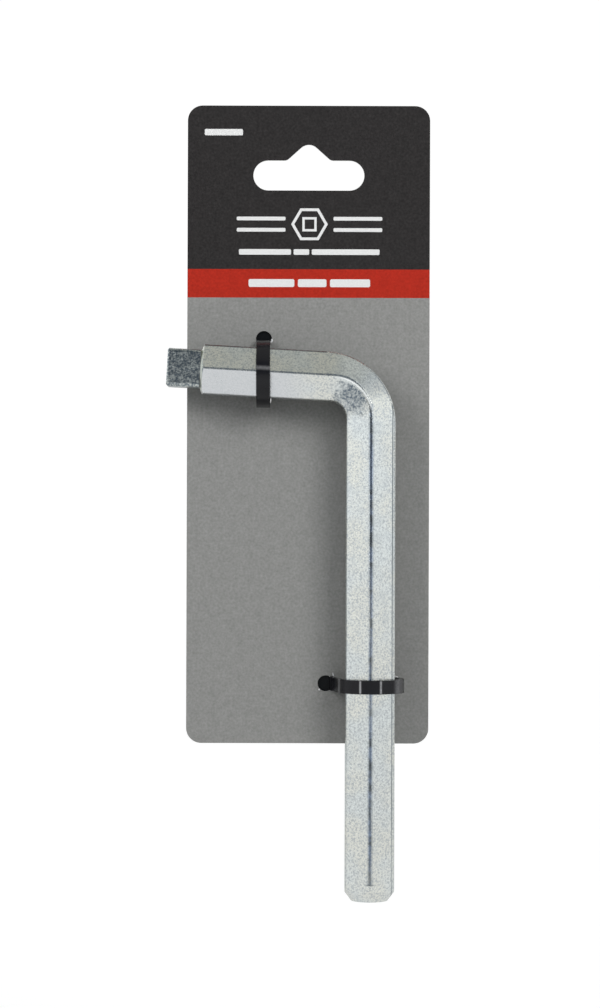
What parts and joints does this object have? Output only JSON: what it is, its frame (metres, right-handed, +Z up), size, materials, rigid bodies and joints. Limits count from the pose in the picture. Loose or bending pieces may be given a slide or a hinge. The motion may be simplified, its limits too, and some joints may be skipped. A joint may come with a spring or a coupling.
{
  "type": "radiator valve spanner",
  "caption": "Cranked zinc-plated hexagon bar with a male square on its short arm, tied by cable ties to a printed hang card with a euro slot.",
  "frame": {"origin": "crown of the card's hang slot on the card's front face, where the peg carries the pack", "axes": "+Z up along the card and the long arm, +X to the right seen from the front, the front faces -Y"},
  "size_m": [0.0696, 0.0231, 0.2106],
  "materials": {
    "zinc_plated_steel": "bright zinc plate over drawn hexagon bar, grainy satin",
    "printed_card": "matt printed board: black header, red band, grey field, white core",
    "black_nylon": "moulded black nylon, semi-matt"
  },
  "bodies": {
    "root": {"hang_card": "printed_card", "valve_spanner": "zinc_plated_steel", "upper_cable_tie": "black_nylon", "lower_cable_tie": "black_nylon"},
    "upper_pawl": {"upper_tie_pawl": "black_nylon"},
    "lower_pawl": {"lower_tie_pawl": "black_nylon"}
  },
  "joints": [
    {"name": "upper_pawl_flex", "type": "hinge", "parent": "root", "child": "upper_pawl", "pos_m": [-0.01185, 0.00149, -0.05403], "axis": [-1, 0, 0], "range_deg": [0, 13], "stiffness_Nm_per_rad": 0.01},
    {"name": "lower_pawl_flex", "type": "hinge", "parent": "root", "child": "lower_pawl", "pos_m": [0.00783, 0.00149, -0.1436], "axis": [0, 0, -1], "range_deg": [0, 13], "stiffness_Nm_per_rad": 0.01}
  ]
}
